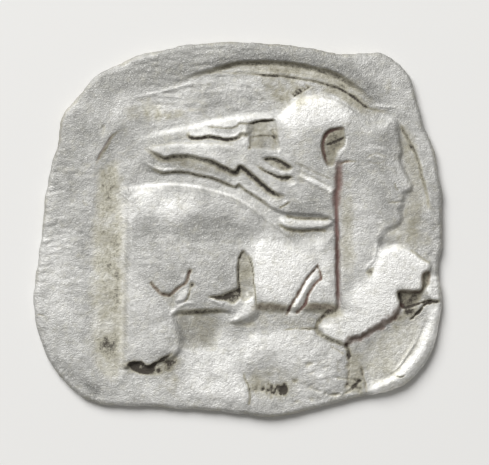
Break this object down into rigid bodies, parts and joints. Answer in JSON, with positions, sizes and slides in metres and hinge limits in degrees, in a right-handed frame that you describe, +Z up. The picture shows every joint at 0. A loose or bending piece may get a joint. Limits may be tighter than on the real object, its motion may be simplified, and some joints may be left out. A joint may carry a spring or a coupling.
{
  "type": "pfennig coin",
  "caption": "Small hammered silver coin with a four-cornered uneven flan, a worn winged figure struck in relief on top and a plain flat underside.",
  "frame": {"origin": "on the flat underside, below the middle of the flan's bounding box", "axes": "+Z up out of the struck face, +X to the right of the upright figure along the flan's longest extent, +Y to the figure's top"},
  "size_m": [0.016, 0.0148, 0.0005],
  "materials": {
    "silver": "worn dull silver, white and satin on the heights, brownish dirt in the hollows"
  },
  "bodies": {
    "root": {"coin": "silver"}
  },
  "joints": []
}
